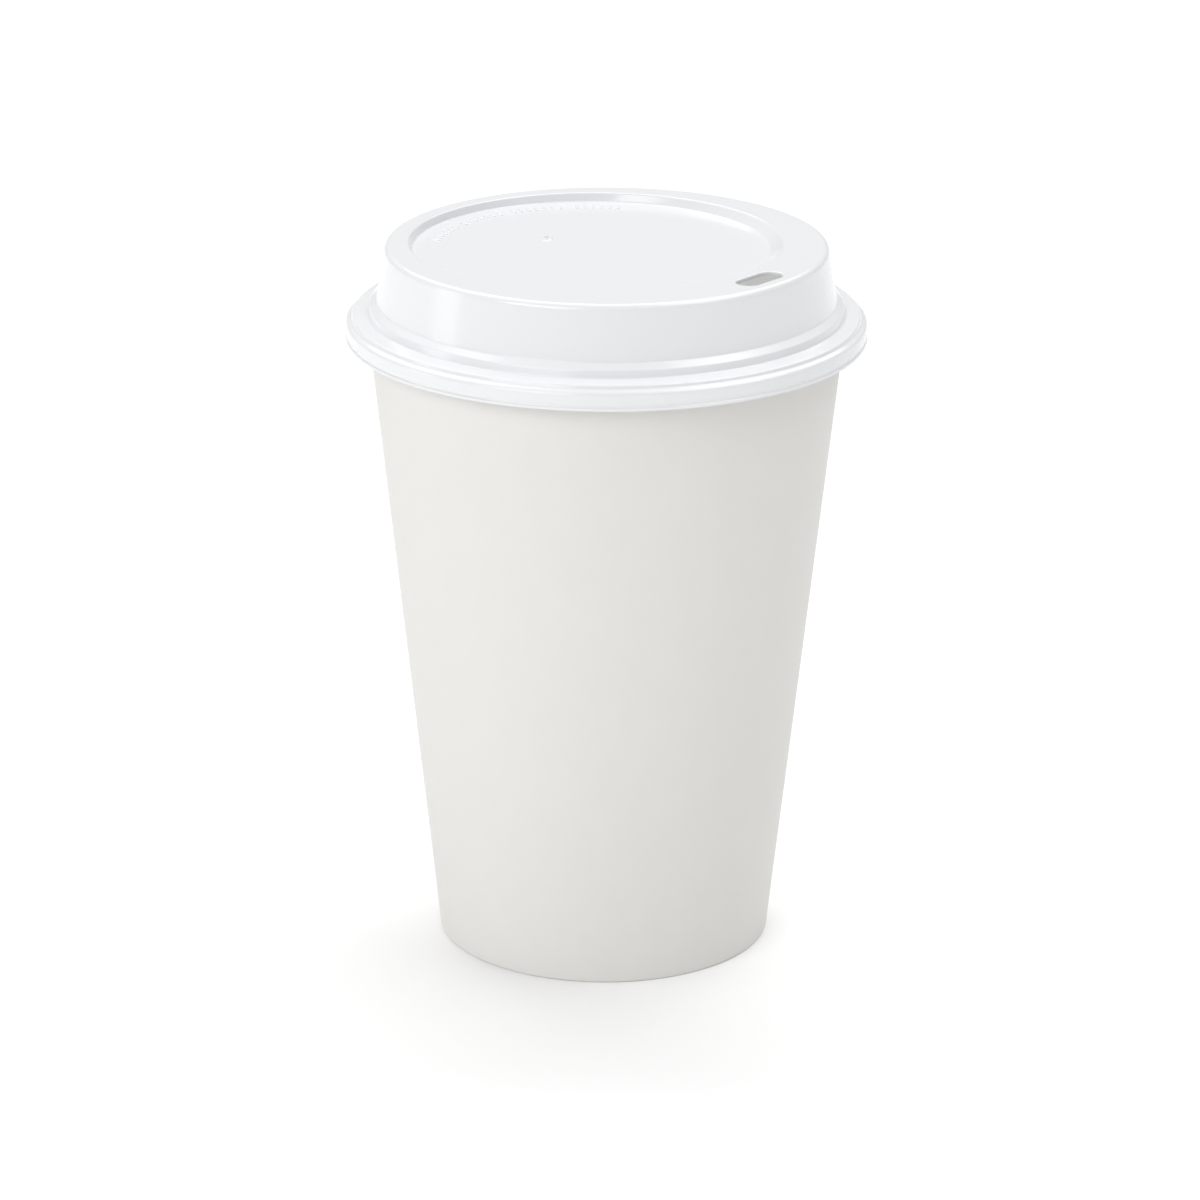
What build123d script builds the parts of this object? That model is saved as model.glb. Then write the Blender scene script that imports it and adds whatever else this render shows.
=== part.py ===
from build123d import *
from math import acos, asin, atan2, copysign, cos, degrees, hypot, radians, sin, sqrt, tan
import os

# Hot drink cup of wrapped paper board, with a clip-on lid of formed plastic sheet to drink through.
# Sizes are in millimetres. The origin is on the table under the middle of the cup, and +Z is up.
# The drinking hole of the lid is at the front, towards -Y, and the glued seam of the cup at the back.

# Cup, outside
CUP_HEIGHT = 116.0
BASE_DIAMETER = 60.0
RIM_DIAMETER = 90.0
RIM_ROLL_DIAMETER = 3.0

# Wall of the cup: one sheet of board, turned in under the bottom and curled out at the rim
WALL_BOARD = 0.4
HEEL_FOLD_STEP = 1.5        # from the turned-in edge up to the bottom disc
RIM_CURL_GAP = 0.2          # from the end of the curl to the wall beside it
SEAM_OVERLAP = 7.0
SEAM_RAMP = 4.0             # over which the upper ply comes down beside the lower one

# Bottom of the cup: one disc with its edge turned down between the two plies of the wall
BOTTOM_BOARD = 0.3
BOTTOM_RECESS = 7.5         # table to the underside of the disc
BOTTOM_BEND = 0.8
BOTTOM_SKIRT_GAP = 0.3      # from the turned-down edge to the fold under it
GLUE_LINE = 0.04

# Lid, sheet and fit on the rim
LID_SHEET = 0.4
LID_SEAT_CLEARANCE = 0.3    # over the rim
LID_SNAP_CLEARANCE = 0.3    # around the rim, at the snap ring
LID_SNAP_LAP = 0.1          # top of the snap ring above the underside of the rim

# Lid, dome and the ledge at its foot
LID_RISE = 12.25            # from the channel over the rim to the flat top
LID_TOP_EDGE = 1.3
LID_DOME_DRAFT = 8.4        # degrees
LID_FOOT_RISE = 2.5
LID_LEDGE_WIDTH = 1.35
LID_LEDGE_FALL = 0.95
LID_DROP_RUN = 0.35

# Lid, channel over the rim, skirt and brim
LID_CHANNEL_MARGIN = 0.4    # from the inner side of the rim to the inner edge of the channel
LID_CHANNEL_FALL = 0.2      # either way from the middle of the rim
LID_STEP_DROP = 0.55
LID_STEP_RUN = 0.15
LID_STEP_INSET = 0.5        # from the snap ring in to the foot of the step
LID_BEAD_FALL = 0.6
LID_BEAD_BEND = 0.7
LID_SKIRT_BULGE = 0.54      # of the skirt beyond the snap ring
LID_SNAP_FALL = 0.5
LID_SNAP_HEIGHT = 0.4
LID_BRIM_WIDTH = 0.6

# Lid, top: the recess lies off the axis, so the flat ring is widest at the drinking hole
LID_RING_FRONT = 9.7
LID_RING_BACK = 3.65
LID_RECESS_DEPTH = 1.6
LID_RECESS_RUN_FRONT = 2.5  # of the sloping wall, in plan
LID_RECESS_RUN_BACK = 0.1
LID_RECESS_EDGE = 0.5
LID_RECESS_FOOT = 0.5
SIP_LENGTH = 10.3
SIP_WIDTH = 4.4
VENT_DIAMETER = 0.9
VENT_OFFSET = 13.9          # behind the axis of the cup
VENT_LIP_DIAMETER = 2.2
VENT_LIP_HEIGHT = 0.3

# Room for bends and cuts
BEND_ROOM_SHARE = 0.48      # of the shorter straight beside a bend
CUT_OVERRUN = 1.0

# Lines that both the cup and the lid follow
rim_radius = RIM_DIAMETER / 2
roll_radius = RIM_ROLL_DIAMETER / 2
roll_bore = roll_radius - WALL_BOARD
roll_middle = (rim_radius - roll_radius, CUP_HEIGHT - roll_radius)
base_radius = BASE_DIAMETER / 2

# The outside of the wall runs from the table to where it touches the bore of the rolled rim
foot_to_roll = hypot(roll_middle[0] - base_radius, roll_middle[1])
wall_slope = atan2(roll_middle[1], roll_middle[0] - base_radius) + asin(roll_bore / foot_to_roll)
wall_run = (cos(wall_slope), sin(wall_slope))
wall_length = sqrt(foot_to_roll**2 - roll_bore**2)
heel_thickness = 2 * WALL_BOARD + BOTTOM_BOARD + 2 * GLUE_LINE
bottom_top = BOTTOM_RECESS + BOTTOM_BOARD
roll_underside = CUP_HEIGHT - RIM_ROLL_DIAMETER


def wall_radius(height, depth):
    """Radius at a height of the cone that lies a depth inside the outside of the wall."""
    return base_radius + height / tan(wall_slope) - depth / sin(wall_slope)


def bent_line(points, bends, distance):
    """Line with bends, moved a distance to the left of its corners, as a bent sheet's other face is."""
    corners = [Vector(*point) for point in points]
    runs = [b - a for a, b in zip(corners, corners[1:])]
    turns = [atan2(a.cross(b).Z, a.dot(b)) for a, b in zip(runs, runs[1:])]
    lefts = [run.normalized().rotate(Axis.Z, 90) for run in runs]
    sides = zip([lefts[0], *lefts], [*lefts, lefts[-1]])
    moved = [p + (a + b) * (distance / (1 + a.dot(b))) for p, (a, b) in zip(corners, sides)]
    radii = []
    for bend, turn, before, after in zip(bends, turns, runs, runs[1:]):
        room = BEND_ROOM_SHARE * min(before.length, after.length) / tan(abs(turn) / 2)
        radii.append(max(min(bend, room) - copysign(distance, distance * turn), 0))
    return FilletPolyline(*moved, radius=radii)


def turned_sheet(near, far):
    """A sheet between two lines of radius and height, which start and end together, turned round Z."""
    ends = [Line(near @ 0, far @ 0), Line(near @ 1, far @ 1)]
    return revolve(Plane.XZ * make_face([*near.edges(), *far.edges(), *ends]), Axis.Z)


def seam_point(radius, along, height):
    """A point by its radius and its distance along the outside of the wall from the back."""
    angle = along / wall_radius(height, 0)
    return (radius * sin(angle), radius * cos(angle), height)


def seam_arc(height, start, end):
    """Level arc whose radius changes evenly between two ends, each a radius and a place along."""
    middle = [(a + b) / 2 for a, b in zip(start, end)]
    return ThreePointArc(*[seam_point(*place, height) for place in (start, middle, end)])


def ramp_end(thickness, bed):
    """How far along the ramp of the upper ply reaches when it goes on into a bed."""
    return SEAM_OVERLAP / 2 + SEAM_RAMP * (thickness + bed) / thickness


def upper_ply(height):
    """Section of the ply that laps over the seam outside, bedded in the wall."""
    bed = WALL_BOARD / 2
    half = SEAM_OVERLAP / 2
    low, high = wall_radius(height, bed), wall_radius(height, -WALL_BOARD)
    end = ramp_end(WALL_BOARD, bed)
    full = seam_arc(height, (high, -half), (high, half))
    ramp = seam_arc(height, (high, half), (low, end))
    under = seam_arc(height, (low, end), (low, -half))
    return make_face([full, ramp, under, Line(under @ 1, full @ 0)])


def lower_ply_end(height):
    """Section of the hollow inside, where the lower ply ends and the upper one comes down."""
    bed = WALL_BOARD / 2
    half = SEAM_OVERLAP / 2
    low, high = wall_radius(height, WALL_BOARD + bed), wall_radius(height, 0)
    ramp = seam_arc(height, (high, half), (low, ramp_end(WALL_BOARD, bed)))
    corner = seam_point(low, half, height)
    return make_face([ramp, Line(ramp @ 1, corner), Line(corner, ramp @ 0)])


def make_cup_sidewall():
    """Wrapped wall: turned-in heel, lapped seam and rolled rim in one sheet."""
    fold_top = BOTTOM_RECESS - HEEL_FOLD_STEP
    outside = [
        (wall_radius(fold_top, heel_thickness), fold_top),
        (wall_radius(0, heel_thickness), 0),
        (base_radius, 0),
        (base_radius + wall_length * wall_run[0], wall_length * wall_run[1]),
    ]
    curl = 360 - degrees(acos((roll_bore - RIM_CURL_GAP) / roll_radius))
    faces = []
    for depth in (0, WALL_BOARD):
        run = bent_line(outside, [WALL_BOARD, WALL_BOARD], depth)
        faces.append(Wire([*run.edges(), JernArc(run @ 1, wall_run, roll_bore + depth, -curl)]))
    wall = turned_sheet(*faces)
    lap = loft([upper_ply(WALL_BOARD), upper_ply(roll_underside)], ruled=True)
    hollow = loft([lower_ply_end(bottom_top), lower_ply_end(roll_underside)], ruled=True)
    return wall + lap - hollow


def make_cup_bottom():
    """Bottom disc with its edge turned down along the inside of the wall."""
    depth = WALL_BOARD + GLUE_LINE
    skirt_end = WALL_BOARD + BOTTOM_SKIRT_GAP
    upper = [
        (0, bottom_top),
        (wall_radius(bottom_top, depth), bottom_top),
        (wall_radius(skirt_end, depth), skirt_end),
    ]
    return turned_sheet(*[bent_line(upper, [BOTTOM_BEND], -down) for down in (0, BOTTOM_BOARD)])


# Heights and radii of the outside of the lid, from the rim that it fits
channel_height = CUP_HEIGHT + LID_SEAT_CLEARANCE + LID_SHEET
lid_top = channel_height + LID_RISE
foot_height = channel_height + LID_FOOT_RISE
snap_height = roll_underside + LID_SNAP_LAP
snap_radius = rim_radius + LID_SNAP_CLEARANCE + LID_SHEET
skirt_radius = snap_radius + LID_SKIRT_BULGE
channel_radius = rim_radius - RIM_ROLL_DIAMETER + LID_CHANNEL_MARGIN
foot_radius = channel_radius - LID_DROP_RUN - LID_LEDGE_WIDTH
top_radius = foot_radius - (lid_top - foot_height) * tan(radians(LID_DOME_DRAFT))
recess_floor = lid_top - LID_RECESS_DEPTH


def lid_corners():
    """Corners of the outside of the lid with their bends, from the dome down to the snap ring."""
    step_radius = snap_radius - LID_STEP_INSET
    step_top = channel_height - LID_CHANNEL_FALL
    step_foot = step_top - LID_STEP_DROP
    return [
        ((top_radius, lid_top), LID_TOP_EDGE),
        ((foot_radius, foot_height), LID_SHEET),
        ((foot_radius + LID_LEDGE_WIDTH, foot_height - LID_LEDGE_FALL), LID_SHEET),
        ((channel_radius, channel_height + LID_CHANNEL_FALL), LID_SHEET),
        ((step_radius - LID_STEP_RUN, step_top), LID_SHEET),
        ((step_radius, step_foot), LID_SHEET),
        ((skirt_radius, step_foot - LID_BEAD_FALL), LID_BEAD_BEND),
        ((skirt_radius, snap_height + LID_SNAP_FALL), LID_SHEET),
        ((snap_radius, snap_height), LID_SHEET),
    ]


def turned_under(line, floor):
    """Solid under a line of radius and height that starts on the axis, down to a level floor."""
    end = line @ 1
    closing = Polyline(end, (end.X, floor), (0, floor), line @ 0)
    return revolve(Plane.XZ * make_face([*line.edges(), *closing.edges()]), Axis.Z)


def recess_circle(height, front, back):
    """Level disc between a front and a back edge, given by their distances from the axis."""
    return Pos(0, (back - front) / 2, height) * Circle((front + back) / 2)


def recess_tool(grown):
    """The recess of the top, with its walls and floor moved out by the sheet that lines it."""
    edges = []
    for ring, run in ((LID_RING_FRONT, LID_RECESS_RUN_FRONT), (LID_RING_BACK, LID_RECESS_RUN_BACK)):
        lean = run / LID_RECESS_DEPTH
        edge = top_radius - ring + grown * hypot(1, lean)
        edges.append((edge + CUT_OVERRUN * lean, edge - run - grown * lean))
    (front_mouth, front_floor), (back_mouth, back_floor) = edges
    mouth = recess_circle(lid_top + CUT_OVERRUN, front_mouth, back_mouth)
    floor = recess_circle(recess_floor - grown, front_floor, back_floor)
    return loft([mouth, floor], ruled=True)


def make_lid():
    """Formed sheet: dome with an off-centre recess, channel over the rim, snap ring and brim."""
    corners, bends = zip(*lid_corners())
    brim_top = snap_height - LID_SNAP_HEIGHT
    brim_under = brim_top - LID_SHEET
    brim = [(snap_radius, brim_top), (snap_radius + LID_BRIM_WIDTH, brim_top)]
    outside = turned_under(bent_line([(0, lid_top), *corners, *brim], [*bends, 0], 0), brim_under)
    outside -= fillet(recess_tool(0).edges().group_by(Axis.Z)[0], LID_RECESS_FOOT)
    flat_ring = outside.faces().filter_by(GeomType.PLANE).sort_by(Axis.Z)[-1]
    outside = fillet(flat_ring.inner_wires()[0].edges(), LID_RECESS_EDGE)

    neck = (snap_radius, brim_under)
    skin = bent_line([(0, lid_top), *corners, neck], bends, -LID_SHEET)
    inside = turned_under(skin, brim_under - CUT_OVERRUN)
    lid = outside - (inside - recess_tool(LID_SHEET))

    vent = Pos(0, VENT_OFFSET, recess_floor)
    lip_radii = (VENT_LIP_DIAMETER / 2, (VENT_LIP_DIAMETER + VENT_DIAMETER) / 4)
    lid += vent * Cone(*lip_radii, VENT_LIP_HEIGHT, align=(Align.CENTER, Align.CENTER, Align.MIN))
    lid -= vent * Cylinder(VENT_DIAMETER / 2, 2 * (LID_SHEET + CUT_OVERRUN))
    sip = Pos(0, LID_RING_FRONT / 2 - top_radius, lid_top) * SlotOverall(SIP_LENGTH, SIP_WIDTH)
    return lid - extrude(sip, LID_SHEET + CUT_OVERRUN, both=True)


os.makedirs("parts", exist_ok=True)
export_step(make_cup_sidewall(), "parts/cup_sidewall.step")
export_step(make_cup_bottom(), "parts/cup_bottom.step")
export_step(make_lid(), "parts/lid.step")
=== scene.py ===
import math

import bmesh
import bpy
from bpy.props import FloatProperty, FloatVectorProperty, IntProperty, PointerProperty
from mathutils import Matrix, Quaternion, Vector


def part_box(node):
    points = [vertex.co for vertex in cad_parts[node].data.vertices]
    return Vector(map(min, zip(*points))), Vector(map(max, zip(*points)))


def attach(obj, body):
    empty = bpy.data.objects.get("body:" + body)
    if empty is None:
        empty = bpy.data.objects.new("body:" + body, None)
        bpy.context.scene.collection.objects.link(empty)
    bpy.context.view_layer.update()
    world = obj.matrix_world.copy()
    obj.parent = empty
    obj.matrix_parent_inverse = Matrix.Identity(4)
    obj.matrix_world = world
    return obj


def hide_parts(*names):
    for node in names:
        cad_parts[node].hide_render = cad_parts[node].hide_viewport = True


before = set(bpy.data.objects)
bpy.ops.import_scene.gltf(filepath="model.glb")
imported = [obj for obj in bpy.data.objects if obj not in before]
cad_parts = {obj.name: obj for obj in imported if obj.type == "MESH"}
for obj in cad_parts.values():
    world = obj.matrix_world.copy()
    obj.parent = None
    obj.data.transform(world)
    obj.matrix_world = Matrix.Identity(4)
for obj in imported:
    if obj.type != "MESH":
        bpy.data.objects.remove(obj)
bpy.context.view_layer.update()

bl_info = {
    "name": "Paper cup with lid",
    "version": (1, 0, 0),
    "blender": (4, 5, 0),
    "location": "3D View > Sidebar > Paper Cup",
    "description": "A wrapped paper cup and its formed lid, dressed over the packed solids",
    "category": "Add Mesh",
}

# Sizes are in metres and +Z is up. The drinking hole faces -Y and the glued seam of the cup +Y.
WALL_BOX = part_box("cup_sidewall")
BOTTOM_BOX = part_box("cup_bottom")
LID_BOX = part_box("lid")

BEND_STEPS = 8              # straight bits in each bend of a sheet
CURL_STEPS = 44             # in the rolled rim
BEND_ROOM_SHARE = 0.48      # of the shorter straight beside a bend
HOLD_SHARE = 0.06           # of a straight, from its end to the row that keeps the bend's shading there
HOLD_MOST = 0.0003          # the most that this may be
ROW_GAP = 0.00002           # between the two rows at a step
WALL_ROW = 0.012            # between rows up the wall
WALL_COLUMNS = 336          # round the wall, with those of the seam
SEAM_COLUMNS = 120          # over the lap, its ramp and a margin at each side
BOTTOM_COLUMNS = 192        # round the bottom disc
LID_COLUMNS = 288           # round the lid
VENT_SKIP = 6               # columns of the lid for each one round the vent
SLOT_STEPS = 24             # round each end of the drinking hole
SHARP_ANGLE = 40.0          # degrees between faces that meet in an edge
MERGE_GAP = 0.000001        # points nearer than this become one

PLEAT_SEGMENTS = (8, 6)     # round a pleat and along it
PLEAT_LEAST = 0.75          # size of the smallest pleat beside the largest
PLEAT_SEED = 4
CUT_SHARE = 0.25            # of the sheet's thickness, rounding of its cut edges
FLAT_REACH = 1.5            # of the top edge's rounding, from the corner of the dome in to the flat ring
RECESS_REACH = 1.2          # of the edge's rounding, past the foot and the mouth of the recess's wall
VENT_APRON = 1.2            # of the vent lip's radius, the flat ring round it
VENT_FOOT = 1.04            # of that radius, where the lip starts to rise
VENT_SHOULDER = 0.97        # of that radius, above its foot
TICK_SOFT = 0.8             # of a tick's height, rounding of its top and upright edges
TICK_STEPS = 3              # straight bits in that rounding

FLOOR_REACH = 4.0           # from the middle of the floor to its sides

# Soft lights: degrees round from the camera, degrees up, distance, width and height
LIGHTS = {
    "front": (0, 50, 4.5, (3.0, 2.5)),
    "key": (-36, 28, 4.0, (2.5, 2.0)),
    "side": (-86, 5, 1.5, (0.4, 1.2)),
    "right": (85, 60, 4.5, (3.0, 2.5)),
    "back": (180, 55, 5.0, (6.0, 4.0)),
}


def length(name, description, default):
    """A size that a user may change."""
    return FloatProperty(
        name=name, description=description, default=default, precision=5, subtype="DISTANCE", unit="LENGTH"
    )


def angle(name, description, default):
    """An angle that a user may change, given here in degrees."""
    return FloatProperty(
        name=name, description=description, default=math.radians(default), subtype="ANGLE", unit="ROTATION"
    )


def colour(name, description, default):
    """A colour that a user may change."""
    return FloatVectorProperty(
        name=name, description=description, default=default, size=3, min=0.0, max=1.0, subtype="COLOR"
    )


def number(name, description, default):
    """A plain value that a user may change."""
    return FloatProperty(name=name, description=description, default=default, min=0.0)


def count(name, description, default):
    """A number of like things that a user may change."""
    return IntProperty(name=name, description=description, default=default, min=2)


class CupSizes(bpy.types.PropertyGroup):
    """Sizes and colours of the paper cup."""

    height: length("Height", "Table to the top of the rolled rim", WALL_BOX[1].z)
    rim_diameter: length("Rim", "Diameter outside the rolled rim", WALL_BOX[1].x - WALL_BOX[0].x)
    base_diameter: length("Base", "Diameter of the outside of the wall at the table", 0.060)
    rim_roll: length("Rim roll", "Thickness of the rolled rim", 0.003)
    board: length("Wall board", "Thickness of the board of the wall", 0.0004)
    curl_gap: length("Curl gap", "From the end of the rim's curl to the wall beside it", 0.0002)
    seam_overlap: length("Seam overlap", "Width of the glued lap behind", 0.007)
    seam_ramp: length("Seam ramp", "Over which the upper ply comes down beside the lower one", 0.004)
    bottom_top: length("Bottom", "Table to the top of the bottom disc", BOTTOM_BOX[1].z)
    bottom_board: length("Bottom board", "Thickness of the bottom disc", 0.0003)
    bottom_bend: length("Bottom bend", "Outer bend of the bottom disc's turned-down edge", 0.0008)
    skirt_end: length("Bottom skirt", "Table to the end of the turned-down edge", BOTTOM_BOX[0].z)
    glue_line: length("Glue line", "Between the bottom's turned-down edge and the wall", 0.00004)
    fold_step: length("Heel fold step", "From the turned-in edge of the wall up to the bottom disc", 0.0015)
    pleats: count("Pleats", "Pressed pleats round the turned-in heel", 96)
    pleat_width: length("Pleat width", "Across one pleat", 0.0007)
    pleat_relief: length("Pleat relief", "How far a pleat stands out of the ply", 0.00007)
    board_colour: colour("Board", "Plain outside of the board", (0.713, 0.703, 0.68))
    coating_colour: colour("Coating", "Coated inside of the board", (0.89, 0.885, 0.865))


class LidSizes(bpy.types.PropertyGroup):
    """Sizes and colours of the lid."""

    top: length("Top", "Table to the flat top of the lid", LID_BOX[1].z)
    sheet: length("Sheet", "Thickness of the formed sheet", 0.0004)
    seat_clearance: length("Seat clearance", "Over the rolled rim", 0.0003)
    snap_clearance: length("Snap clearance", "Round the rolled rim", 0.0003)
    snap_lap: length("Snap lap", "Top of the snap ring above the underside of the rim", 0.0001)
    top_edge: length("Top edge", "Rounding of the top edge of the dome", 0.0013)
    dome_draft: angle("Dome draft", "Lean of the side of the dome", 8.4)
    foot_rise: length("Foot rise", "Foot of the dome above the channel", 0.0025)
    ledge_width: length("Ledge width", "Ledge at the foot of the dome", 0.00135)
    ledge_fall: length("Ledge fall", "Slope of that ledge", 0.00095)
    drop_run: length("Drop run", "Slope of the drop from the ledge to the channel", 0.00035)
    channel_margin: length("Channel margin", "From the rim's inner side to the channel's inner edge", 0.0004)
    channel_fall: length("Channel fall", "Either way from the middle of the rim", 0.0002)
    step_drop: length("Step drop", "Height of the step outside the channel", 0.00055)
    step_run: length("Step run", "Slope of that step", 0.00015)
    step_inset: length("Step inset", "From the snap ring in to the foot of the step", 0.0005)
    bead_fall: length("Bead fall", "From the step down to the skirt", 0.0006)
    bead_bend: length("Bead bend", "Rounding at the top of the skirt", 0.0007)
    skirt_bulge: length("Skirt bulge", "Skirt beyond the snap ring", 0.00054)
    snap_fall: length("Snap fall", "From the skirt down to the snap ring", 0.0005)
    snap_height: length("Snap height", "Of the snap ring", 0.0004)
    neck_depth: length("Neck depth", "Groove outside between the skirt and the brim", 0.0002)
    brim_width: length("Brim width", "Brim outside the snap ring", 0.0006)
    brim_flare: length("Brim flare", "Slope of the top of the brim", 0.0003)
    ring_front: length("Ring front", "Width of the flat ring at the drinking hole", 0.0086)
    ring_back: length("Ring back", "Width of the flat ring behind", 0.00365)
    recess_depth: length("Recess depth", "Flat ring to the floor of the recess", 0.0016)
    recess_run_front: length("Recess run front", "Slope of the recess wall in front", 0.0025)
    recess_run_back: length("Recess run back", "Slope of the recess wall behind", 0.0001)
    recess_edge: length("Recess edge", "Rounding at the top of the recess wall", 0.0005)
    recess_foot: length("Recess foot", "Rounding at the foot of the recess wall", 0.0005)
    sip_inset: length("Drinking hole inset", "From the edge of the top to the middle of the hole", 0.00485)
    sip_length: length("Drinking hole length", "Along the edge of the lid", 0.0103)
    sip_width: length("Drinking hole width", "Across the flat ring", 0.0044)
    sip_edge: length("Drinking hole edge", "Rounding of its turned-down edge", 0.0003)
    sip_lip: length("Drinking hole lip", "Its turned-down edge below the underside", 0.0003)
    vent: length("Vent", "Diameter of the vent hole", 0.0009)
    vent_offset: length("Vent offset", "Vent hole behind the axis of the cup", 0.0139)
    vent_lip: length("Vent lip", "Diameter of the raised lip of the vent", 0.0022)
    vent_lip_height: length("Vent lip height", "Of the raised lip of the vent", 0.0003)
    ticks: count("Ticks", "Places for raised ticks behind the vent", 30)
    tick_group: count("Tick group", "Places from one gap to the next", 8)
    tick_span: angle("Tick span", "From the first tick to the last", 90.0)
    tick_turn: angle("Tick turn", "Middle of the row from straight behind", 15.0)
    tick_inset: length("Tick inset", "From the foot of the recess wall to the middle of a tick", 0.0038)
    tick_length: length("Tick length", "Across the row of ticks", 0.0017)
    tick_width: length("Tick width", "Along the row of ticks", 0.0005)
    tick_height: length("Tick height", "Above the floor of the recess", 0.00018)
    sheet_colour: colour("Sheet", "Formed sheet of the lid", (0.755, 0.765, 0.78))


class StageSettings(bpy.types.PropertyGroup):
    """Camera, lights and floor."""

    azimuth: angle("Camera azimuth", "From the drinking hole round to the camera", -50.0)
    elevation: angle("Camera elevation", "Above the horizon", 19.563)
    distance: length("Camera distance", "From the middle of the cup", 0.93438)
    middle: length("Middle", "Height of the middle of the cup", 0.060)
    aim_up: length("Aim up", "Middle of the picture above the middle of the cup", 0.00207)
    aim_aside: length("Aim aside", "Middle of the picture to the right of the middle of the cup", -0.00093)
    roll: angle("Camera roll", "Turn of the picture", 0.266)
    lens: number("Lens", "Focal length in millimetres", 154.885)
    sky: number("Sky", "Even light from all round", 0.5)
    front: number("Front", "Radiance of the soft light over the camera", 0.12)
    key: number("Key", "Radiance of the soft light on the left of the camera", 3.7)
    side: number("Side", "Radiance of the tall light on the left", 1.9)
    right: number("Right", "Radiance of the soft light high on the right", 2.25)
    back: number("Back", "Radiance of the broad soft light above and behind", 2.22)
    floor_colour: colour("Floor", "Pale floor", (0.92, 0.92, 0.92))


class CupLines:
    """Lines that the pieces of the cup share."""

    def __init__(self, cup):
        self.cup = cup
        roll = cup.rim_roll / 2
        self.bore = roll - cup.board
        self.roll = roll
        self.roll_middle = Vector((cup.rim_diameter / 2 - roll, cup.height - roll))
        self.roll_underside = cup.height - cup.rim_roll
        self.base = cup.base_diameter / 2
        foot = Vector((self.base, 0))
        to_roll = self.roll_middle - foot
        self.slope = math.atan2(to_roll.y, to_roll.x) + math.asin(self.bore / to_roll.length)
        self.run = Vector((math.cos(self.slope), math.sin(self.slope)))
        self.wall_end = foot + self.run * math.sqrt(to_roll.length_squared - self.bore**2)
        self.heel = 2 * cup.board + cup.bottom_board + 2 * cup.glue_line
        self.fold_top = cup.bottom_top - cup.bottom_board - cup.fold_step

    def wall_radius(self, height, depth):
        """Radius at a height of the cone that lies a depth inside the outside of the wall."""
        return self.base + height / math.tan(self.slope) - depth / math.sin(self.slope)


def bent_line(points, bends, distance):
    """Points along a bent line, moved a distance to its left, with rows that hold the straights flat."""
    corners = [Vector(point) for point in points]
    runs = [b - a for a, b in zip(corners, corners[1:])]
    lefts = [Vector((-run.y, run.x)).normalized() for run in runs]
    sides = list(zip([lefts[0], *lefts], [*lefts, lefts[-1]]))
    moved = [p + (a + b) * (distance / (1 + a.dot(b))) for p, (a, b) in zip(corners, sides)]
    arcs = [[moved[0]]]
    for i, bend in enumerate(bends, start=1):
        before, after = runs[i - 1], runs[i]
        turn = math.atan2(before.x * after.y - before.y * after.x, before.dot(after))
        room = BEND_ROOM_SHARE * min(before.length, after.length) / max(math.tan(abs(turn) / 2), MERGE_GAP)
        radius = max(min(bend, room) - math.copysign(distance, distance * turn), 0)
        arcs.append(rounded(moved[i], before.normalized(), turn, radius))
    arcs.append([moved[-1]])
    line = []
    for arc, following in zip(arcs, arcs[1:]):
        run = following[0] - arc[-1]
        hold = run.normalized() * min(HOLD_SHARE * run.length, HOLD_MOST)
        line += [*arc, arc[-1] + hold, following[0] - hold]
    return [*line, *arcs[-1]]


def rounded(corner, direction, turn, radius):
    """Points of the bend that rounds a corner."""
    if radius == 0:
        return [corner]
    start = corner - direction * (radius * math.tan(abs(turn) / 2))
    side = Vector((-direction.y, direction.x)) * math.copysign(radius, turn)
    return [start + side + turned(-side, turn * step / BEND_STEPS) for step in range(BEND_STEPS + 1)]


def turned(vector, turn):
    """A flat vector turned to the left."""
    sine, cosine = math.sin(turn), math.cos(turn)
    return Vector((vector.x * cosine - vector.y * sine, vector.x * sine + vector.y * cosine))


def curl(lines, depth):
    """Points of the rim's curl on one face of the board, after the end of the wall."""
    start = lines.wall_end + Vector((-lines.run.y, lines.run.x)) * depth - lines.roll_middle
    sweep = 2 * math.pi - math.acos((lines.bore - lines.cup.curl_gap) / lines.roll)
    return [lines.roll_middle + turned(start, -sweep * step / CURL_STEPS) for step in range(CURL_STEPS + 1)]


def stepped_rows(line, low, high):
    """A line's points with rows up its last straight, and which of them lie between two heights."""
    start, end = line[-3], line[-2]
    half_gap = ROW_GAP / 2
    gaps = round((high - low) / WALL_ROW)
    heights = [low - half_gap, low + half_gap]
    heights += [low + (high - low) * step / gaps for step in range(1, gaps)]
    heights += [high - half_gap, high + half_gap]
    rows = [start.lerp(end, (height - start.y) / (end.y - start.y)) for height in heights]
    points = [*line[:-2], *rows, *line[-2:]]
    between = [float(low < point.y < high and point in rows) for point in points]
    return points, between


class NodeWriter:
    """Writes a node tree: each call adds one node and links what it is given."""

    def __init__(self, tree):
        self.tree = tree

    def add(self, kind, values=None, **settings):
        """One node, with values or links for its inputs."""
        node = self.tree.nodes.new(kind)
        for key, value in settings.items():
            setattr(node, key, value)
        for key, value in (values or {}).items():
            if isinstance(value, bpy.types.NodeSocket):
                self.tree.links.new(value, node.inputs[key])
            else:
                node.inputs[key].default_value = value
        return node

    def math(self, operation, *values):
        """One sum, as a socket."""
        return self.add("ShaderNodeMath", dict(enumerate(values)), operation=operation).outputs[0]


def geometry_tree(name, inputs):
    """A geometry node tree with named inputs, its writer and its input sockets."""
    tree = bpy.data.node_groups.new(name, "GeometryNodeTree")
    tree.is_modifier = True
    tree.interface.new_socket("Geometry", in_out="INPUT", socket_type="NodeSocketGeometry")
    for label, kind in inputs:
        tree.interface.new_socket(label, in_out="INPUT", socket_type=f"NodeSocket{kind}")
    tree.interface.new_socket("Geometry", in_out="OUTPUT", socket_type="NodeSocketGeometry")
    writer = NodeWriter(tree)
    return tree, writer, writer.add("NodeGroupInput").outputs


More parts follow.
